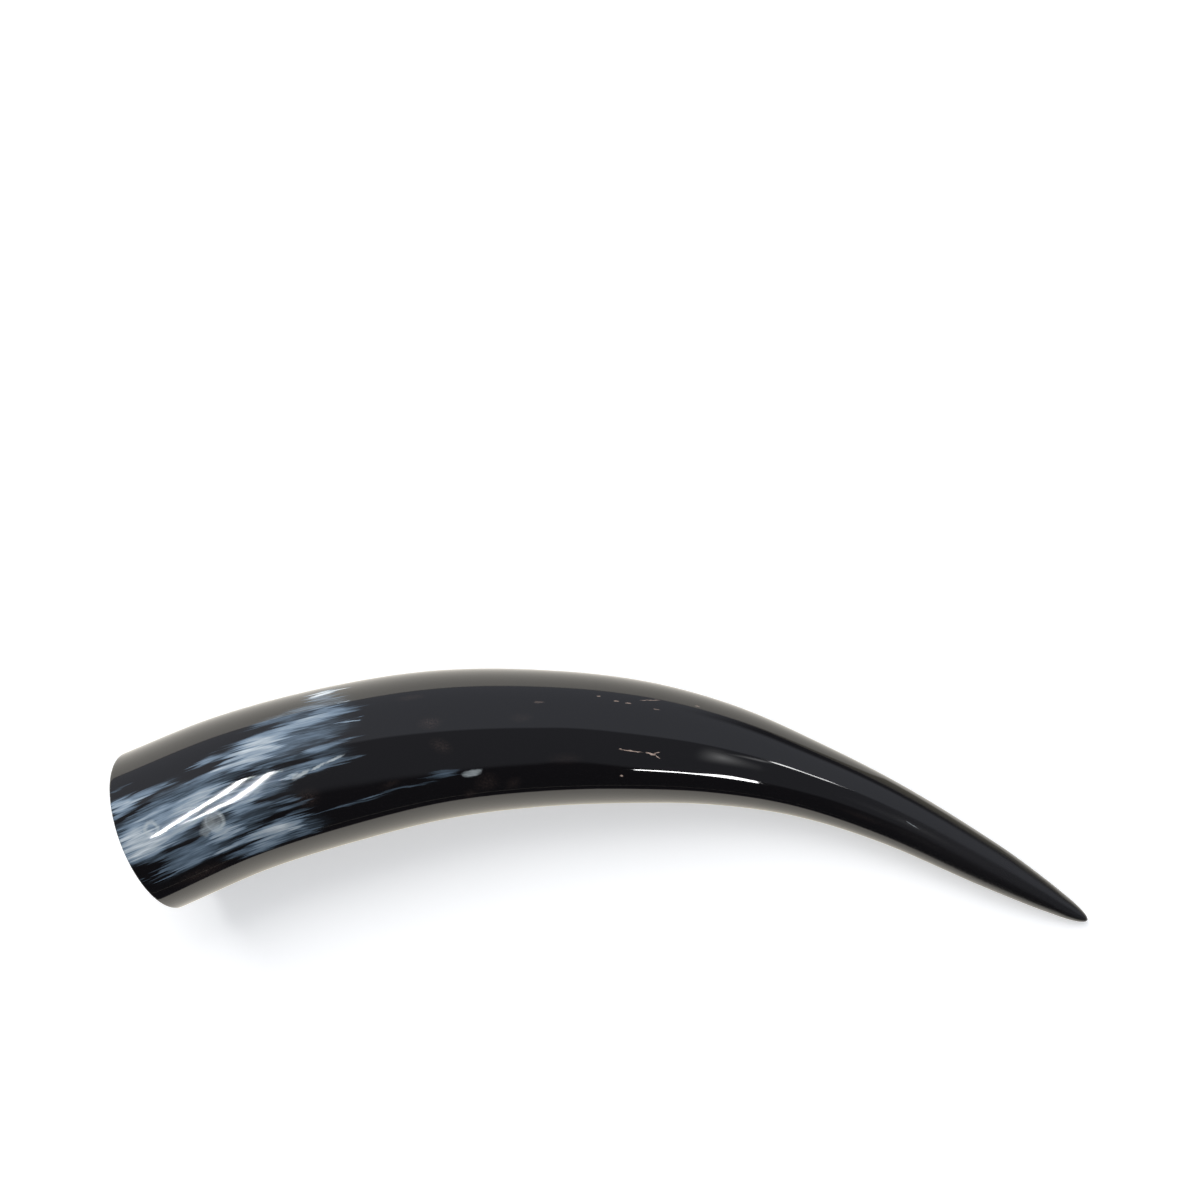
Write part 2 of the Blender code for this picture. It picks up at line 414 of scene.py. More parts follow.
def smooth_through(knots, values, at):
    """A smooth curve through values given at rising knots (cubic Hermite, secant slopes)."""
    last = len(knots) - 1
    slopes = []
    for i in range(last + 1):
        before, after = max(i - 1, 0), min(i + 1, last)
        slopes.append((values[after] - values[before]) / (knots[after] - knots[before]))
    i = 0
    while i < last - 1 and at > knots[i + 1]:
        i += 1
    span = knots[i + 1] - knots[i]
    t = (at - knots[i]) / span
    return (values[i] * (2 * t**3 - 3 * t**2 + 1) + values[i + 1] * (3 * t**2 - 2 * t**3)
            + slopes[i] * span * (t**3 - 2 * t**2 + t) + slopes[i + 1] * span * (t**3 - t**2))


def middle_line():
    """Points of the line as (place, half width, half height), from the stub to the tip."""
    xs, ys, widths = zip(*STATIONS)
    steps = round((xs[-1] - xs[0]) / SAMPLE_STEP)
    line = []
    distance = 0.0
    for i in range(steps + 1):
        x = xs[0] + (xs[-1] - xs[0]) * i / steps
        y = smooth_through(xs, ys, x)
        if line:
            distance += math.hypot(x - line[-1][0].x, y - line[-1][0].y)
        half_height = smooth_through(*zip(*TOP_HEIGHTS), distance) / 2
        line.append((Vector((x, y, half_height)), smooth_through(xs, widths, x) / 2,
                     half_height))
    root, half_width, half_height = line[0]
    back = (root - line[1][0]).normalized()
    line.insert(0, (root + Vector((back.x, back.y, 0)) * STUB, half_width, half_height))
    end, half_width, half_height = line[-1]
    ahead = end - line[-2][0]
    ahead.z = 0
    ahead.normalize()
    for i in range(1, NOSE_RINGS + 1):
        left = 1 - i / NOSE_RINGS
        place = end + ahead * NOSE_LENGTH * (1 - left**2)
        place.z = end.z * (1 - NOSE_DROP * (1 - left**2))
        line.append((place, half_width * left, half_height * left))
    return line


line = middle_line()
line_lengths = [-STUB]
for before, after in zip(line, line[1:]):
    line_lengths.append(line_lengths[-1] + (after[0] - before[0]).length)
print("length along the middle line:", round(1000 * line_lengths[-1], 1), "mm")

# %% [markdown]
# ## The rings of the sheath
#
# The whole skin is one closed surface. It starts at the pole of the tip, runs back over the
# outside, turns over the sawn rim and runs up the hollow to its closed end. Each ring has a
# distance along the middle line, a reach, which is its radius as a share of the horn's own
# half width there, and a layer: 0 outside, 1 on the sawn rim, 2 in the hollow. The rings are
# closer where the surface turns fast. The hollow could be cut out with a Boolean, but one skin
# has no seam, and every ring knows which layer it belongs to.

# %% The rings of the sheath
CUT_DISTANCE = 0.0015
RIM_ROUNDING = 0.0008  # both edges of the sawn ring are eased with a file
HOLLOW_LENGTH = 0.205
HOLLOW_HALF_WIDTH = 0.0291
HOLLOW_FULLNESS = 2.0
HOLLOW_BLUNTNESS = 0.75
RING_STEP = 0.00115
HOLLOW_RINGS = 64
EDGE_STEPS = 5  # rings round each eased edge
FLAT_STEPS = 4  # rings over the flat between them


def half_width_at(distance):
    i = 1
    while i < len(line) - 1 and line_lengths[i] < distance:
        i += 1
    t = (distance - line_lengths[i - 1]) / (line_lengths[i] - line_lengths[i - 1])
    return line[i - 1][1] + (line[i][1] - line[i - 1][1]) * min(max(t, 0), 1)


def sheath_rings():
    """Every ring as (distance, reach, layer), from the tip's pole to the hollow's pole."""
    rings = [(distance, 1.0, 0) for distance in reversed(line_lengths[-NOSE_RINGS:])]
    body_start = CUT_DISTANCE + RIM_ROUNDING
    body = line_lengths[-NOSE_RINGS - 1] - body_start
    count = round(body / RING_STEP)
    rings += [(body_start + body * (1 - i / count), 1.0, 0) for i in range(count + 1)]

    edge = half_width_at(CUT_DISTANCE)
    step = math.radians(90) / EDGE_STEPS
    for i in range(1, EDGE_STEPS + 1):
        far = CUT_DISTANCE + RIM_ROUNDING * (1 - math.sin(i * step))
        reach = 1 - RIM_ROUNDING * (1 - math.cos(i * step)) / edge
        rings.append((far, reach, i / EDGE_STEPS))
    outer = rings[-1][1]
    inner = (HOLLOW_HALF_WIDTH + RIM_ROUNDING) / edge
    for i in range(1, FLAT_STEPS + 1):
        rings.append((CUT_DISTANCE, outer + (inner - outer) * i / FLAT_STEPS, 1))
    for i in range(1, EDGE_STEPS + 1):
        turn = math.radians(90) - i * step
        far = CUT_DISTANCE + RIM_ROUNDING * (1 - math.sin(turn))
        radius = HOLLOW_HALF_WIDTH + RIM_ROUNDING * (1 - math.cos(turn))
        rings.append((far, radius / edge, 1 + i / EDGE_STEPS))

    for i in range(1, HOLLOW_RINGS + 1):
        share = math.sin(math.radians(90) * i / HOLLOW_RINGS)
        far = body_start + (HOLLOW_LENGTH - body_start) * share
        radius = HOLLOW_HALF_WIDTH * (1 - share**HOLLOW_FULLNESS) ** HOLLOW_BLUNTNESS
        rings.append((far, radius / half_width_at(far), 2))
    return rings


rings = sheath_rings()
print("rings:", len(rings))

# %% [markdown]
# ## Two chains of points
#
# Geometry Nodes read numbers from attributes, so the line and the rings each become a chain of
# points that carries them. The second chain is the object that the modifier turns into the
# horn, and its own points only stand in a row until then.

# %% Two chains of points
def chain(name, points, attributes):
    """An object of points joined in a row, with a number at each point for every attribute."""
    mesh = bpy.data.meshes.new(name)
    mesh.from_pydata(points, [(i, i + 1) for i in range(len(points) - 1)], [])
    for attribute, values in attributes.items():
        if isinstance(values[0], tuple):
            layer = mesh.attributes.new(attribute, "FLOAT_VECTOR", "POINT")
            layer.data.foreach_set("vector", [number for value in values for number in value])
        else:
            mesh.attributes.new(attribute, "FLOAT", "POINT").data.foreach_set("value", values)
    return put_in_scene(bpy.data.objects.new(name, mesh))


line_object = chain("middle_line", [point for point, _, _ in line],
                    {"half_size": [(width, height, 0.0) for _, width, height in line]})
distances, reaches, layers = zip(*rings)
horn_object = chain("polished_cow_horn", [(i * 0.001, 0, 0) for i in range(len(rings))],
                    {"along": distances, "reach": reaches, "layer": layers})
print("points on the line:", len(line))

# %% [markdown]
# ## The sheath's node tree: inputs, rows and columns
#
# The shape follows a rule, a ring carried along a line, which is what Geometry Nodes are good
# at. The tree's sizes are named inputs, so that another horn can be grown with the same tree.
# Curve to Mesh gives the skin its rows and columns. Where they end up doesn't matter yet.

# %% The sheath's node tree: inputs, rows and columns
GRAIN_RADIUS = 0.030  # radius of the straight cylinder that the grain is laid out on
SAW_DIRECTION = (-0.912, -0.331, -0.242)  # square to the sawn base, outwards

sheath = bpy.data.node_groups.new("horn_sheath", "GeometryNodeTree")
face = sheath.interface
face.new_socket("Geometry", in_out="INPUT", socket_type="NodeSocketGeometry")
face.new_socket("Geometry", in_out="OUTPUT", socket_type="NodeSocketGeometry")
for name, kind, value in (
    ("Middle Line", "Object", None), ("Stub", "Float", STUB), ("Sides", "Int", 190),
    ("Saw Direction", "Vector", SAW_DIRECTION),
    ("Lean Starts", "Float", 0.060), ("Lean Ends", "Float", 0.003),
    ("Ripple Height", "Float", 0.00002), ("Ripple Length", "Float", 0.030),
    ("Seed", "Int", 7), ("Material", "Material", None),
):
    socket = face.new_socket(name, in_out="INPUT", socket_type="NodeSocket" + kind)
    if value is not None:
        socket.default_value = value
given = add(sheath, "NodeGroupInput").outputs

circle = add(sheath, "GeometryNodeCurvePrimitiveCircle", {"Resolution": given["Sides"]})
index = add(sheath, "GeometryNodeInputIndex")
turned = add(sheath, MATH, [index, given["Sides"]], operation="DIVIDE")
turn = add(sheath, MATH, [turned, 2 * math.pi], operation="MULTIPLY")
column = add(sheath, "GeometryNodeStoreNamedAttribute",
             {"Geometry": circle, "Name": "around", "Value": turn},
             data_type="FLOAT", domain="POINT")
row = add(sheath, "GeometryNodeMeshToCurve", [given["Geometry"]])
skin = add(sheath, "GeometryNodeCurveToMesh", {"Curve": row, "Profile Curve": column})
print("inputs of the sheath's tree:", len(given) - 1)

# %% [markdown]
# ## The sheath's node tree: a place on the skin
#
# Each point finds its place from its ring's distance and its turn round the ring: it samples
# the middle line there, and steps out across it. Near the base the rings lean over, until the
# last one lies flat in the saw's plane. Simply tilting them would dent the polish, so each
# point slides along the skin instead and stays on it. How far is first guessed as if the horn
# were straight, and then corrected once.

# %% The sheath's node tree: a place on the skin
source = add(sheath, "GeometryNodeObjectInfo", [given["Middle Line"]],
             transform_space="RELATIVE")
curve = add(sheath, "GeometryNodeMeshToCurve", [source.outputs["Geometry"]])
along, reach, around = (
    add(sheath, "GeometryNodeInputNamedAttribute", {"Name": name}, data_type="FLOAT")
    for name in ("along", "reach", "around"))
half_size = add(sheath, "GeometryNodeInputNamedAttribute", {"Name": "half_size"},
                data_type="FLOAT_VECTOR")
cosine = add(sheath, MATH, [around], operation="COSINE")
sine = add(sheath, MATH, [around], operation="SINE")


def on_skin(distance):
    """The middle line's place and direction at a distance, and the step out to the skin."""
    length = add(sheath, MATH, [distance, given["Stub"]], operation="ADD")
    at = add(sheath, "GeometryNodeSampleCurve",
             {"Curves": curve, "Value": half_size, "Length": length},
             mode="LENGTH", data_type="FLOAT_VECTOR")
    ahead = at.outputs["Tangent"]
    sideways = add(sheath, VECTOR, [(0, 0, 1), ahead], operation="CROSS_PRODUCT")
    sideways = add(sheath, VECTOR, [sideways], operation="NORMALIZE")
    upward = add(sheath, VECTOR, [ahead, sideways], operation="CROSS_PRODUCT")
    size = add(sheath, VECTOR, {0: at, "Scale": reach}, operation="SCALE")
    size = add(sheath, SPLIT, [size]).outputs
    wide = add(sheath, MATH, [cosine, size["X"]], operation="MULTIPLY")
    high = add(sheath, MATH, [sine, size["Y"]], operation="MULTIPLY")
    wide = add(sheath, VECTOR, {0: sideways, "Scale": wide}, operation="SCALE")
    high = add(sheath, VECTOR, {0: upward, "Scale": high}, operation="SCALE")
    step = add(sheath, VECTOR, [wide, high], operation="ADD")
    return at.outputs["Position"], ahead, step


saw = given["Saw Direction"]
centre, ahead, step = on_skin(along)
over_plane = add(sheath, VECTOR, [step, saw], operation="DOT_PRODUCT")
per_slide = add(sheath, VECTOR, [ahead, saw], operation="DOT_PRODUCT")
share = add(sheath, MATH, [over_plane, per_slide], operation="DIVIDE")
guess = add(sheath, MATH, [-1.0, share], operation="MULTIPLY")

near, ahead, step = on_skin(add(sheath, MATH, [along, guess], operation="ADD"))
moved = add(sheath, VECTOR, [near, centre], operation="SUBTRACT")
moved = add(sheath, VECTOR, [moved, step], operation="ADD")
left_over = add(sheath, VECTOR, [moved, saw], operation="DOT_PRODUCT")
per_slide = add(sheath, VECTOR, [ahead, saw], operation="DOT_PRODUCT")
correction = add(sheath, MATH, [left_over, per_slide], operation="DIVIDE")
slide = add(sheath, MATH, [guess, correction], operation="SUBTRACT")

lean = add(sheath, MAP_RANGE, [along, given["Lean Ends"], given["Lean Starts"], 1.0, 0.0],
           **SOFT)
distance = add(sheath, MATH, [slide, lean, along], operation="MULTIPLY_ADD")
middle, ahead, outward = on_skin(distance)
print("nodes so far:", len(sheath.nodes))

# %% [markdown]
# ## The sheath's node tree: grain and ripple
#
# The grain is where each point would lie if the horn were rolled out on a straight cylinder.
# The finish reads it, so that the pattern follows the bend and has no seam. At the end a very
# low ripple is added, because a horn that was scraped by hand is never a perfect cone, and the
# polish shows it. It fades out where the horn is thin.

# %% The sheath's node tree: grain and ripple
SEED_STEP = 3.7  # how far apart in the noise two seeds lie
THIN, THICK = 0.001, 0.012  # half sizes between which the ripple sets in

grain_y = add(sheath, MATH, [cosine, GRAIN_RADIUS], operation="MULTIPLY")
grain_z = add(sheath, MATH, [sine, GRAIN_RADIUS], operation="MULTIPLY")
grain = add(sheath, JOIN, [distance, grain_y, grain_z])
seed = add(sheath, MATH, [given["Seed"], SEED_STEP], operation="MULTIPLY")
pace = add(sheath, MATH, [1.0, given["Ripple Length"]], operation="DIVIDE")
wave = add(sheath, "ShaderNodeTexNoise", {"Vector": grain, "W": seed, "Scale": pace,
                                          "Detail": 1.5, "Roughness": 0.45},
           noise_dimensions="4D")
wave = add(sheath, MATH, [wave, 0.5], operation="SUBTRACT")
full_height = add(sheath, MATH, [given["Ripple Height"], 2.0], operation="MULTIPLY")
ripple = add(sheath, MATH, [wave, full_height], operation="MULTIPLY")
radius = add(sheath, VECTOR, [outward], operation="LENGTH")
room_for_it = add(sheath, MAP_RANGE, [radius, THIN, THICK, 0.0, 1.0])
swell = add(sheath, MATH, [ripple, room_for_it], operation="MULTIPLY")
straight_out = add(sheath, VECTOR, [outward], operation="NORMALIZE")
swell = add(sheath, VECTOR, {0: straight_out, "Scale": swell}, operation="SCALE")
place = add(sheath, VECTOR, [middle, outward], operation="ADD")
place = add(sheath, VECTOR, [place, swell], operation="ADD")

skin = add(sheath, "GeometryNodeStoreNamedAttribute",
           {"Geometry": skin, "Name": "grain", "Value": grain},
           data_type="FLOAT_VECTOR", domain="POINT")
skin = add(sheath, "GeometryNodeSetPosition", {"Geometry": skin, "Position": place})
skin = add(sheath, "GeometryNodeMergeByDistance", {"Geometry": skin, "Distance": 1e-6})
skin = add(sheath, "GeometryNodeFlipFaces", {"Mesh": skin})
skin = add(sheath, "GeometryNodeSetShadeSmooth", {"Geometry": skin})
skin = add(sheath, "GeometryNodeRealizeInstances", {"Geometry": skin})
skin = add(sheath, "GeometryNodeSetMaterial",
           {"Geometry": skin, "Material": given["Material"]})
add(sheath, "NodeGroupOutput", [skin])
print("nodes in the sheath's tree:", len(sheath.nodes))

# %% [markdown]
# ## Keratin: where on the horn
#
# Horn is keratin: fibres laid in thin sheets along the horn, in a clear binding, nearly black
# where it is thick. Scraped and buffed with fine abrasive, it takes a gloss like black lacquer.
# The finish is painted by nodes rather than by a picture, so that it holds at any distance.
# First the grain is unrolled into two numbers, both in millimetres: how far along, and how far
# round. The unrolled sheet's one cut runs along the underside.

# %% Keratin: where on the horn
MM_PER_RADIAN = 1000 * GRAIN_RADIUS

keratin = bpy.data.materials.new("buffed_keratin")
keratin.use_nodes = True
finish = keratin.node_tree
shader = finish.nodes["Principled BSDF"]

grain = add(finish, "ShaderNodeAttribute", attribute_name="grain").outputs["Vector"]
layer = add(finish, "ShaderNodeAttribute", attribute_name="layer").outputs["Fac"]
parts = add(finish, SPLIT, [grain]).outputs
along = add(finish, MATH, [parts["X"], 1000.0], operation="MULTIPLY")
far_side = add(finish, MATH, [parts["Y"], -1.0], operation="MULTIPLY")
from_top = add(finish, MATH, [far_side, parts["Z"]], operation="ARCTAN2")
round_it = add(finish, MATH, [from_top, MM_PER_RADIAN, math.radians(90) * MM_PER_RADIAN],
               operation="MULTIPLY_ADD")
flat = add(finish, JOIN, [along, round_it, 0.0])
print("unrolled width:", round(2 * math.pi * MM_PER_RADIAN), "mm")

# %% [markdown]
# ## Keratin: fibres
#
# A single fibre is a tenth of a millimetre thick or less, too fine to show, so bundles of them
# are drawn, about half a millimetre wide and nine long. Two coarser noises, drawn out the same
# way, tear the clouds' ends into strands and let them drift off their straight path.

# %% Keratin: fibres
DRIFT_PUSH = (16.0, 4.5, 0.0)  # mm along and round, for the whole range of the noise
TEAR_PUSH = 32.0  # mm along
WOBBLE_PUSH = (1.6, 1.1, 0.0)


def strands(length_mm, width_mm, detail):
    """Noise drawn out along the horn, with strands of about this length and width."""
    scale = (1000 / length_mm, 1000 / width_mm, 1000 / width_mm)
    place = add(finish, "ShaderNodeMapping", {"Vector": grain, "Scale": scale})
    return add(finish, "ShaderNodeTexNoise",
               {"Vector": place, "Scale": 1.0, "Detail": detail, "Roughness": 0.6})


def middled(noise, share):
    """Noise, centred on nothing, as a share of itself."""
    centred = add(finish, MATH, [noise, 0.5], operation="SUBTRACT")
    return add(finish, MATH, [centred, share], operation="MULTIPLY")


def pushed(place, noise, amounts):
    """A place, pushed about by the noise's colour."""
    centred = add(finish, VECTOR, [noise.outputs["Color"], (0.5, 0.5, 0.5)],
                  operation="SUBTRACT")
    push = add(finish, VECTOR, [centred, amounts], operation="MULTIPLY")
    return add(finish, VECTOR, [place, push], operation="ADD")


fibre = strands(9, 0.55, 3.0)
comb = strands(40, 1.0, 2.0)
drift = strands(24, 5.0, 2.5)
drifted = pushed(flat, drift, DRIFT_PUSH)
tear = add(finish, JOIN, [middled(comb, TEAR_PUSH), 0.0, 0.0])
torn = add(finish, VECTOR, [drifted, tear], operation="ADD")
wobbled = pushed(flat, strands(1.6, 1.6, 3.0), WOBBLE_PUSH)
print("nodes for the fibres:", len(finish.nodes))

# %% [markdown]
# ## Keratin: the clouds
#
# Near the base the sheets are thinner and partly split by air, which scatters light: pale
# blue-grey clouds, drawn out along the grain like smoke. Noise alone would put them anywhere,
# so each cloud is a soft oval with its own place, size, strength and turn, and the noises above
# only fray it. A wide thin smoke lies under them, and a few gaps are torn in them. The ovals
# melt together where they meet: the fourth root of the sum of fourth powers is close to the
# largest of them, without a crease.

# %% Keratin: where the clouds lie
# each row: distance mm, angle degrees, half length mm, half height mm, strength, turn degrees
SMOKE = (
    (18, 84, 46, 9, 0.52, 5), (8, 96, 28, 11, 0.60, 3), (44, 96, 34, 8, 0.54, 3),
    (68, 68, 36, 9, 0.50, 5), (30, 117, 42, 9, 0.52, 3), (10, 122, 26, 9, 0.54, 3),
    (50, 134, 34, 7, 0.50, 3), (6, 104, 22, 11, 0.54, 0), (66, 88, 32, 7, 0.50, 4),
    (8, 66, 26, 6, 0.40, 3), (78, 46, 24, 9, 0.42, 4),
    (32, -30, 44, 10, 0.50, 3), (18, -58, 34, 8, 0.46, 2), (26, 200, 40, 10, 0.50, 3),
    (24, 228, 36, 9, 0.46, 3),
)
CLOUDS = (
    # the upper cloud, its tongues and the band that runs on from it
    (51, 68, 18, 8.5, 0.97, 8), (58, 64, 19, 6, 0.84, 7), (36, 63, 11, 1.7, 0.66, 3),
    (35, 75, 13, 2.6, 0.58, 4), (76, 56, 22, 4.0, 0.80, 4), (62, 46, 20, 2.6, 0.52, 3),
    (75, 43, 14, 2.2, 0.58, 3), (80, 50, 9, 6, 0.72, 4), (84, 36, 10, 4, 0.50, 3),
    (83, 27, 7, 4.0, 1.2, 3), (91, 63, 5, 1.1, 0.85, 2), (89, 44, 1.8, 0.8, 0.95, 0),
    (72, 72, 22, 4, 0.50, 4), (80, 79, 16, 2.4, 0.66, 3), (60, 81, 14, 1.6, 0.48, 3),
    # near the rim, above the mirrored tubes
    (-1, 71, 13, 5.0, 0.95, 5), (13, 68.5, 14, 2.4, 0.78, 3), (1, 57, 7, 1.4, 0.45, 2),
    (27, 87, 18, 4.6, 0.96, 4), (13, 88, 14, 4.4, 0.84, 3),
    # the wide bright cloud at the rim and under the mirrored tubes
    (0, 98, 15, 10.0, 1.03, 0), (17, 100.5, 16, 3.8, 1.0, 3), (6, 105, 11, 5.0, 0.95, 0),
    (44, 96, 20, 6.5, 0.66, 3), (56, 92, 14, 5, 0.54, 3),
    # round the far bright line, which is a painted highlight over pale keratin
    (67, 93, 5, 2.8, 0.9, 0), (77, 90.5, 13, 5.5, 0.62, 5),
    # below: strands, the long lower cloud and its end
    (31, 116, 13, 5.2, 0.92, 4), (48, 107, 20, 1.8, 0.52, 3), (57, 109, 14, 1.2, 0.58, 3),
    (60, 114, 13, 1.5, 0.56, 3), (58, 119, 13, 1.3, 0.50, 3), (44, 127, 25, 2.7, 0.82, 3),
    (57, 127, 14, 4.6, 0.86, 5), (58, 132, 6, 2.6, 1.0, 0), (30, 128, 10, 1.5, 0.9, 2),
    (47, 139, 17, 3.0, 0.66, 4), (62, 137, 8, 2.6, 0.60, 4), (82, 124, 24, 0.8, 0.42, 1),
    (10, 118, 12, 4.6, 0.56, 3), (14, 127, 17, 3.0, 0.68, 3), (6, 130, 6, 2.0, 0.66, 2),
    (50, 129, 19, 6.4, 0.96, 4), (43, 102.5, 13, 4.4, 0.84, 3), (49, 124, 17, 3.4, 0.84, 4),
    # two far wisps
    (104, 121.5, 26, 0.8, 0.46, 1), (120, 116, 12, 2.4, 0.55, 5),
    # low on the flanks: behind, then on the near side
    (36, -24, 30, 5.0, 0.74, 3), (12, -34, 20, 4.0, 0.62, 2), (66, -16, 22, 2.6, 0.60, 3),
    (22, -56, 26, 4.4, 0.66, 4), (58, -48, 18, 2.2, 0.52, 2),
    (18, 196, 26, 4.4, 0.72, 3), (48, 204, 24, 5.0, 0.76, 4), (8, 218, 16, 3.4, 0.60, 2),
    (34, 232, 26, 4.0, 0.64, 3), (72, 214, 18, 2.0, 0.50, 3),
)
GAPS = (
    (33, 69.5, 12, 1.5, 0.5, 3), (16, 60, 26, 5.5, 0.6, 5), (1, 79, 9, 1.0, 0.5, 4),
    (12, 142, 30, 4.6, 0.8, 0), (-3, 126, 6, 10, 0.8, 0), (14, 111, 16, 0.9, 0.5, 1),
    (52, 104, 20, 1.2, 0.3, 2), (54, 117, 22, 1.4, 0.4, 2), (40, 122, 22, 1.0, 0.35, 2),
    (30, 132.5, 26, 1.0, 0.45, 1), (66, 85, 16, 1.4, 0.4, 4), (78, 97, 22, 2.0, 0.4, 3),
)
print("clouds:", len(CLOUDS), "over", len(SMOKE), "wide ones, with", len(GAPS), "gaps")

# %% Keratin: paint the clouds
CLOUD_EDGE = 0.30  # cover below this fades out, strands and all
FIBRE_SHARE, COMB_SHARE, DRIFT_SHARE = 0.62, 0.22, 0.60
CLOUD_TONES = (  # from black keratin to sheets that are split through
    (0.03, "#0d0b0d"), (0.17, "#1b1f24"), (0.33, "#37414a"), (0.49, "#5d6d7c"),
    (0.65, "#7d8e9d"), (0.80, "#a0abb3"), (1.0, "#d3dadd"))
TONE_SCALE = 0.8


def unrolled(distance, degrees):
    """A place on the unrolled sheet, in mm."""
    return distance, math.radians(degrees) * MM_PER_RADIAN, 0


def patches(table, place, sharpness):
    """Soft ovals at their places, melted together where they meet."""
    total = 0.0
    for distance, degrees, length, height, strength, turn in table:
        patch = add(finish, "ShaderNodeMapping",
                    {"Vector": place, "Location": unrolled(distance, degrees),
                     "Rotation": (0, 0, math.radians(-turn)), "Scale": (length, height, 1)},
                    vector_type="TEXTURE")
        dome = add(finish, "ShaderNodeTexGradient", [patch], gradient_type="SPHERICAL")
        oval = add(finish, MAP_RANGE, [dome.outputs["Fac"], 0.0, 1 - sharpness, 0.0, strength],
                   **SOFT)
        square = add(finish, MATH, [oval, oval], operation="MULTIPLY")
        total = add(finish, MATH, [square, square, total], operation="MULTIPLY_ADD")
    return add(finish, MATH, [total, 0.25], operation="POWER")


cloudy = add(finish, MATH, [patches(SMOKE, drifted, 0.3), patches(CLOUDS, torn, 0.3)],
             operation="MAXIMUM")
cover = add(finish, MATH, [cloudy, patches(GAPS, torn, 0.1)], operation="SUBTRACT")
edge = add(finish, MAP_RANGE, [cover, 0.0, CLOUD_EDGE, 0.0, 1.0])
cloud = cover
for noise, share in ((fibre, FIBRE_SHARE), (comb, COMB_SHARE), (drift, DRIFT_SHARE)):
    cloud = add(finish, MATH, [cloud, middled(noise, share)], operation="ADD")
cloud = add(finish, MATH, [cloud, edge], operation="MULTIPLY")

tones = add(finish, "ShaderNodeValToRGB",
            [add(finish, MATH, [cloud, TONE_SCALE], operation="MULTIPLY")])
while len(tones.color_ramp.elements) < len(CLOUD_TONES):
    tones.color_ramp.elements.new(0.5)
for element, (position, code) in zip(tones.color_ramp.elements, CLOUD_TONES):
    element.position = position
    element.color = linear(code)
print("nodes with the clouds:", len(finish.nodes))

# %% [markdown]
# ## Keratin: mottles, spots, painted glints and nicks
#
# Under the polish lie faint brown mottles, where the binding is stained. A few places are
# pale grey: a small patch and two spots with a ring round them. The same grey also paints
# light: a bright broken line, pale keratin with a painted highlight over it, and a short
# painted glint near the tip. On top come nicks and flakes that broke out of the polish and
# look bone-coloured. All are painted with the same soft ovals as the clouds, but on the
# wobbled place, so that their outlines are ragged.

# %% Keratin: mottles, spots, painted glints and nicks
# rows as for the clouds: distance, angle, half length, half height, strength, turn
STAINS = (
    (120, 76, 6, 3.4, 0.50, 0), (123, 94, 6, 3.6, 0.42, -30), (114, 52, 7, 2.0, 0.35, 0),
    (68, 111, 7, 5.0, 0.45, 0), (140, 128, 7, 6.0, 0.40, 30), (133, 137, 4, 3.0, 0.45, 0),
    (151, 131, 4, 5.0, 0.35, -40), (101, 116, 6, 2.0, 0.30, 10), (155, 76, 6, 3.0, 0.25, 0),
    (16, 140, 14, 4.0, 0.50, 0), (300, 120, 14, 3.0, 0.20, 0), (172, 110, 9, 3.5, 0.25, 0),
)
# pale keratin, plus painted light: the broken line from 65.8 to 82 mm is a painted highlight
# over pale keratin, and the short streak at 320 mm is a painted glint
PALE_AND_GLINTS = (
    (29, 106.5, 5.6, 4.4, 0.48, 10), (25, 110.5, 3.0, 2.4, 0.36, 0),
    (134, 118.0, 4.8, 1.9, 0.62, 2), (136, 117.0, 3.2, 1.3, 0.5, 8),
    (320.3, 95.5, 4.2, 0.5, 0.36, -14), (68.5, 93.6, 4.2, 0.9, 0.9, 16),
    (75.5, 91.3, 4.4, 0.6, 0.9, 14), (82, 89, 5.0, 0.6, 0.8, 12),
    (65.8, 93.8, 2.2, 1.3, 0.6, 40),
)
DARK_IN_SPOT = ((31.0, 105.4, 2.2, 1.8, 0.22, 0),)
SPOT_RINGS = ((6.5, 93.6, 2.3, 1.3), (30, 106, 3.4, 1.5))  # distance, angle, radius, width
RING_STRENGTH = 0.60
NICKS = (
    (185, 52.5, 0.8, 0.5, 0.5, 0), (191.5, 56, 1.3, 0.45, 0.55, 0),
    (196, 56.8, 1.5, 0.45, 0.5, 8), (204.5, 49.5, 5.0, 0.30, 0.5, 17),
    (207, 59, 1.6, 0.35, 0.3, 0), (223, 43.5, 1.0, 0.5, 0.3, 0),
    (198, 101.3, 5.5, 0.28, 0.9, -4), (206, 102.6, 2.6, 0.45, 1.0, -14),
    (208.5, 101.0, 1.7, 0.26, 0.9, 26), (209, 105.0, 1.6, 0.30, 0.9, -34),
    (193.8, 100, 0.8, 0.35, 0.7, 0), (195.3, 125.6, 0.7, 0.5, 0.9, 0),
    (207, 119.5, 0.6, 0.4, 0.5, 0), (162, 62, 2.5, 0.6, 0.12, 0),
)


def ring(distance, degrees, radius, width):
    """A pale ring round a place."""
    away = add(finish, VECTOR, [wobbled, unrolled(distance, degrees)], operation="DISTANCE")
    off = add(finish, MATH, [away, radius], operation="SUBTRACT")
    off = add(finish, MATH, [off], operation="ABSOLUTE")
    return add(finish, MAP_RANGE, [off, width, 0.0, 0.0, 1.0], **SOFT)


speckle = add(finish, MAP_RANGE, [strands(0.6, 0.6, 2.0), 0.35, 0.7, 0.0, 0.4])
stain = add(finish, MATH, [patches(STAINS, wobbled, 0.1), speckle], operation="MULTIPLY")
colour = add(finish, MIX, {"Factor": stain, "A": tones, "B": linear("#6b5a52")},
             data_type="RGBA")

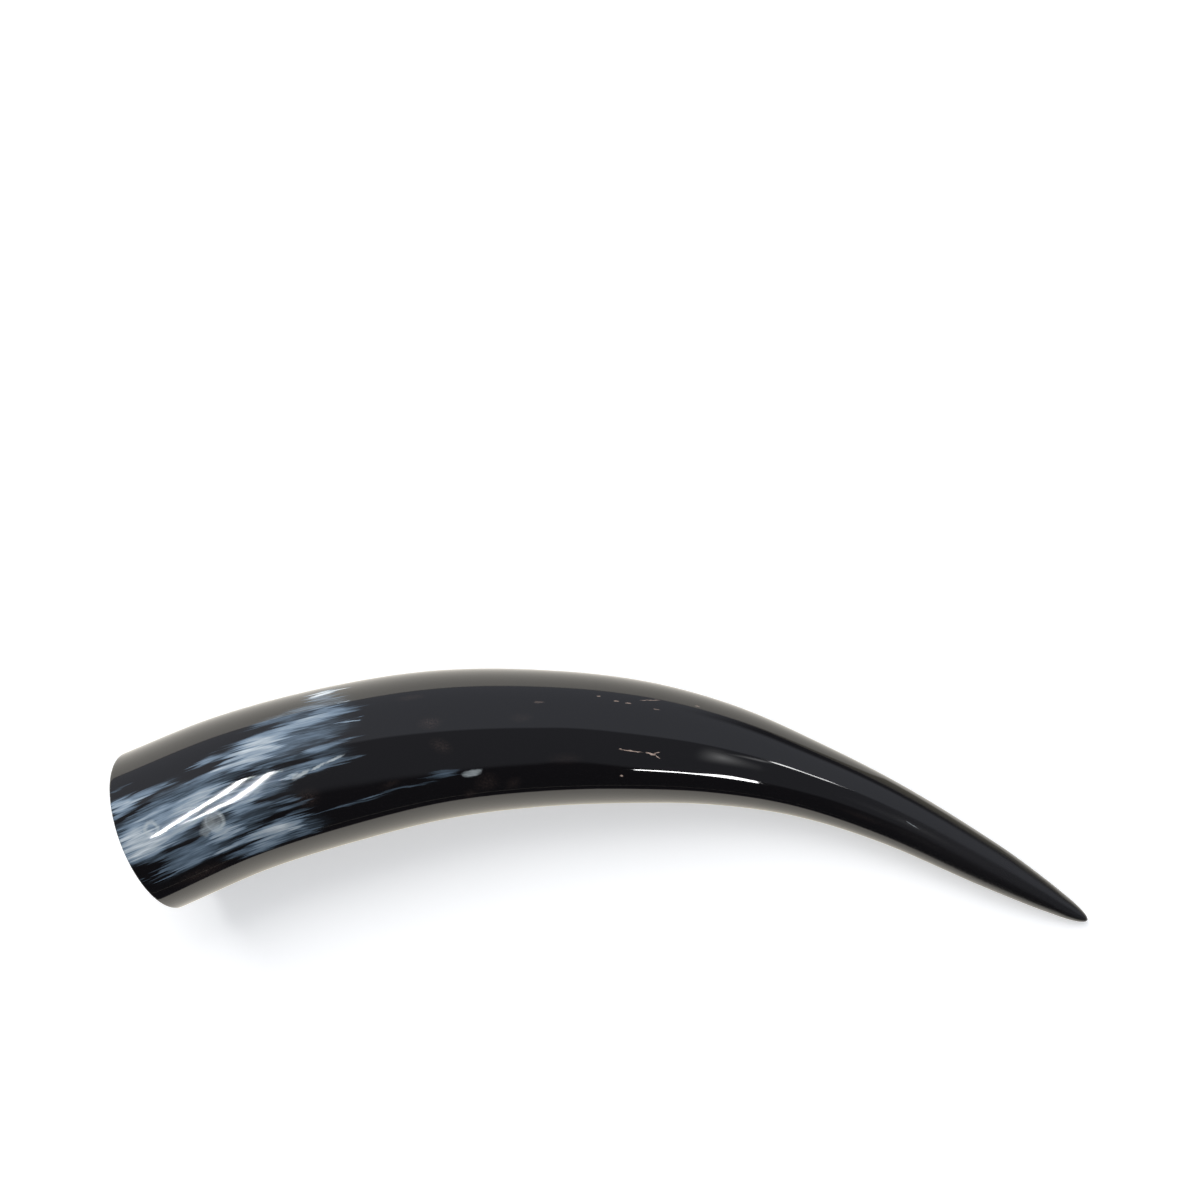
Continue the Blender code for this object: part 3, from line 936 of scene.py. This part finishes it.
pale_and_glints = add(finish, MATH, [patches(PALE_AND_GLINTS, wobbled, 0.4), patches(DARK_IN_SPOT, wobbled, 0.0)],
           operation="SUBTRACT")
round_spots = add(finish, MATH, [ring(*row) for row in SPOT_RINGS], operation="MAXIMUM")
round_spots = add(finish, MATH, [round_spots, RING_STRENGTH], operation="MULTIPLY")
spots_and_glints = add(finish, MATH, [round_spots, pale_and_glints], operation="MAXIMUM")
grained = add(finish, MAP_RANGE, [fibre, 0.35, 0.65, 0.55, 1.3])
spots_and_glints = add(finish, MATH, [spots_and_glints, grained], operation="MULTIPLY")
# this pale grey also paints the highlight on the bright broken line and the glint near the tip
colour = add(finish, MIX, {"Factor": add(finish, "ShaderNodeClamp", [spots_and_glints]), "A": colour,
                           "B": linear("#b4bcbe")}, data_type="RGBA")

nick = patches(NICKS, wobbled, 0.5)
colour = add(finish, MIX, {"Factor": nick, "A": colour, "B": linear("#b8a193")},
             data_type="RGBA")
print("mottles, pale places and nicks:", len(STAINS), len(PALE_AND_GLINTS), len(NICKS))

# %% [markdown]
# ## Raw keratin: the sawn ring and the hollow
#
# Inside, the horn was scraped but never buffed, so it is matt and shows the keratin's own
# brown, streaked along the fibres. The sawn ring is raw too, with the saw's marks straight
# across it. A fine saw leaves them about 0.3 mm apart; here they are 0.7 mm, coarse enough to
# show. The marks are noise in one dimension, up the plane of the cut, on Object coordinates,
# because a saw doesn't follow the grain.

# %% Raw keratin: the sawn ring and the hollow
UP_THE_CUT = (-0.227, -0.083, 0.970)  # lies in the saw's plane, as steep as it gets there
SAW_MARK_MM = 0.7
RIM_SHARE = 0.7  # how much of the ring's streaks are the saw's
RAW_DARK, RAW_PALE = "#2e2926", "#7a7064"

at_home = add(finish, "ShaderNodeTexCoord").outputs["Object"]
up = add(finish, VECTOR, [at_home, UP_THE_CUT], operation="DOT_PRODUCT")
up = add(finish, MATH, [up, 1000 / SAW_MARK_MM], operation="MULTIPLY")
saw_marks = add(finish, "ShaderNodeTexNoise",
                {"W": up, "Scale": 1.0, "Detail": 3.0, "Roughness": 0.6},
                noise_dimensions="1D")
off_rim = add(finish, MATH, [layer, 1.0], operation="SUBTRACT")
off_rim = add(finish, MATH, [off_rim], operation="ABSOLUTE")
on_rim = add(finish, MAP_RANGE, [off_rim, 0.8, 0.0, 0.0, RIM_SHARE])
streaks = add(finish, MIX, {"Factor": on_rim, "A": fibre, "B": saw_marks}, data_type="FLOAT")
streaks = add(finish, MAP_RANGE, [streaks, 0.3, 0.7, 0.0, 1.0])
raw = add(finish, MIX, {"Factor": streaks, "A": linear(RAW_DARK), "B": linear(RAW_PALE)},
          data_type="RGBA")
inside = add(finish, MAP_RANGE, [layer, 0.25, 0.9, 0.0, 1.0])
colour = add(finish, MIX, {"Factor": inside, "A": colour, "B": raw}, data_type="RGBA")
finish.links.new(live(colour.outputs), shader.inputs["Base Color"])
print("saw marks every", SAW_MARK_MM, "mm")

# %% [markdown]
# ## Keratin: the polish
#
# Keratin's index of refraction is near 1.55. The buffed side is almost a mirror, so its
# roughness is low and only varies with the fibres; nicks are rougher, and the last third of the
# horn gets more and more satin towards the tip, where handling wears the polish off. The
# grooves that buffing leaves along the fibres are a few ten-thousandths of a millimetre deep:
# they fray the lamps' images a little, so they are the one thing here that is left to bump.

# %% Keratin: the polish
KERATIN_IOR = 1.55
GLOSS = 0.03, 0.05  # roughness of the buffed side, by fibre
NICK_ROUGHNESS = 0.35
WEAR_FROM, WEAR_TO, WORN_ROUGHNESS = 265.0, 375.0, 0.24  # mm along the horn
RAW_ROUGHNESS = 0.6
GROOVE_DEPTH = 3e-7

gloss = add(finish, MAP_RANGE, [fibre, 0.3, 0.7, *GLOSS])
gloss = add(finish, MATH, [nick, NICK_ROUGHNESS, gloss], operation="MULTIPLY_ADD")
worn = add(finish, MAP_RANGE, [along, WEAR_FROM, WEAR_TO, 0.0, WORN_ROUGHNESS], **SOFT)
gloss = add(finish, MATH, [gloss, worn], operation="ADD")
rough = add(finish, MIX, {"Factor": inside, "A": gloss, "B": RAW_ROUGHNESS},
            data_type="FLOAT")
grooves = add(finish, "ShaderNodeBump",
              {"Height": fibre, "Strength": 1.0, "Distance": GROOVE_DEPTH})
finish.links.new(rough.outputs[0], shader.inputs["Roughness"])
finish.links.new(grooves.outputs[0], shader.inputs["Normal"])
shader.inputs["IOR"].default_value = KERATIN_IOR
print("nodes in the finish:", len(finish.nodes))

# %% [markdown]
# ## Growing the horn
#
# The tree goes on the chain of rings as a modifier, whose inputs are set by their identifiers.
# The evaluated result becomes a plain mesh, so that the finished horn doesn't depend on live
# nodes, and it is moved so that its box stands where the frame's solid has its own.

# %% Growing the horn
modifier = horn_object.modifiers.new("sheath", "NODES")
modifier.node_group = sheath
for item in sheath.interface.items_tree:
    if item.in_out == "INPUT" and item.name == "Middle Line":
        modifier[item.identifier] = line_object
    if item.in_out == "INPUT" and item.name == "Material":
        modifier[item.identifier] = keratin
bpy.context.view_layer.update()
grown = horn_object.evaluated_get(bpy.context.evaluated_depsgraph_get())
mesh = bpy.data.meshes.new_from_object(grown)
horn_object.modifiers.remove(modifier)
horn_object.data = mesh
mesh.name = "polished_cow_horn"
bpy.data.objects.remove(line_object)

low = Vector(min(v.co[i] for v in mesh.vertices) for i in range(3))
high = Vector(max(v.co[i] for v in mesh.vertices) for i in range(3))
shift = (horn_low + horn_high) / 2 - (low + high) / 2
shift.z = horn_low.z - low.z
mesh.transform(Matrix.Translation(shift))
print("shift mm:", [round(1000 * v, 2) for v in shift])
print("size mm:", [round(1000 * (b - a), 2) for a, b in zip(low, high)])

# %% Check the skin
skin = bmesh.new()
skin.from_mesh(mesh)
print("volume in ml:", round(skin.calc_volume(signed=True) * 1e6, 1))
print("faces:", len(skin.faces), "open edges:", sum(edge.is_boundary for edge in skin.edges))
skin.free()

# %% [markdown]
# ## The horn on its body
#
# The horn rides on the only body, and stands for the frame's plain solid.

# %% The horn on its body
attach(horn_object, "root")
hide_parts("horn")
